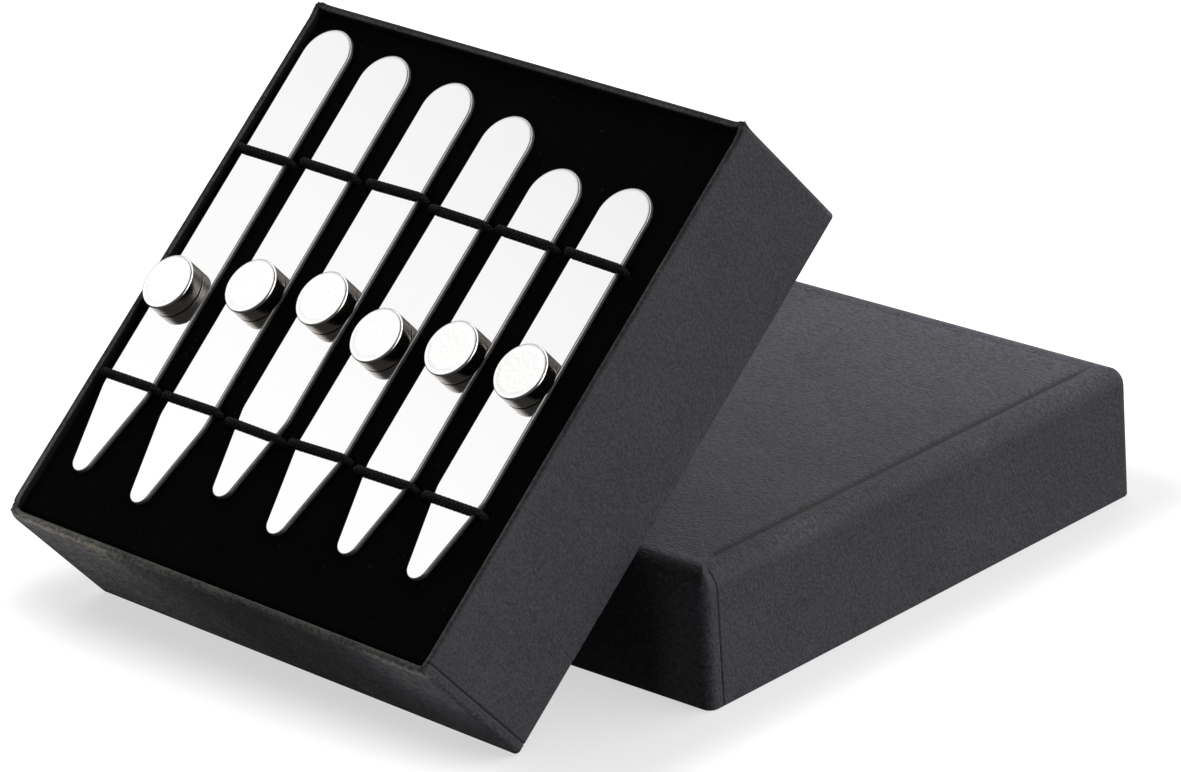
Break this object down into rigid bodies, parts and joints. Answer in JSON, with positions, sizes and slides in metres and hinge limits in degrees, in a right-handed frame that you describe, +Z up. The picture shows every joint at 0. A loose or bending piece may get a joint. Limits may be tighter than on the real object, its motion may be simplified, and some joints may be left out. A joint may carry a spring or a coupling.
{
  "type": "boxed set of magnetic collar stays with its gift box",
  "caption": "Pairs of polished steel collar stays with disc magnets, held by elastic on a velvet pad in a square board tray that leans on its lid.",
  "frame": {"origin": "middle of the floor area that the whole set covers, on the surface it stands on", "axes": "+X from the tray's foot towards the lid, +Y along the lid's side, +Z up"},
  "size_m": [0.1347, 0.1021, 0.0772],
  "materials": {
    "board_wrap": "matt charcoal-black embossed paper over wood-pulp board",
    "velvet": "black short-pile velvet over foam",
    "stay_steel": "mirror-polished stainless steel",
    "magnet_nickel": "bright nickel plate",
    "elastic_braid": "matt black braided elastic"
  },
  "bodies": {
    "root": {"box_tray": "board_wrap", "box_lid": "board_wrap", "velvet_pad": "velvet", "collar_stay_1": "stay_steel", "collar_stay_2": "stay_steel", "collar_stay_3": "stay_steel", "collar_stay_4": "stay_steel", "collar_stay_5": "stay_steel", "collar_stay_6": "stay_steel", "magnet_1": "magnet_nickel", "magnet_2": "magnet_nickel", "magnet_3": "magnet_nickel", "magnet_4": "magnet_nickel", "magnet_5": "magnet_nickel", "magnet_6": "magnet_nickel", "elastic_upper": "elastic_braid", "elastic_lower": "elastic_braid"}
  },
  "joints": []
}
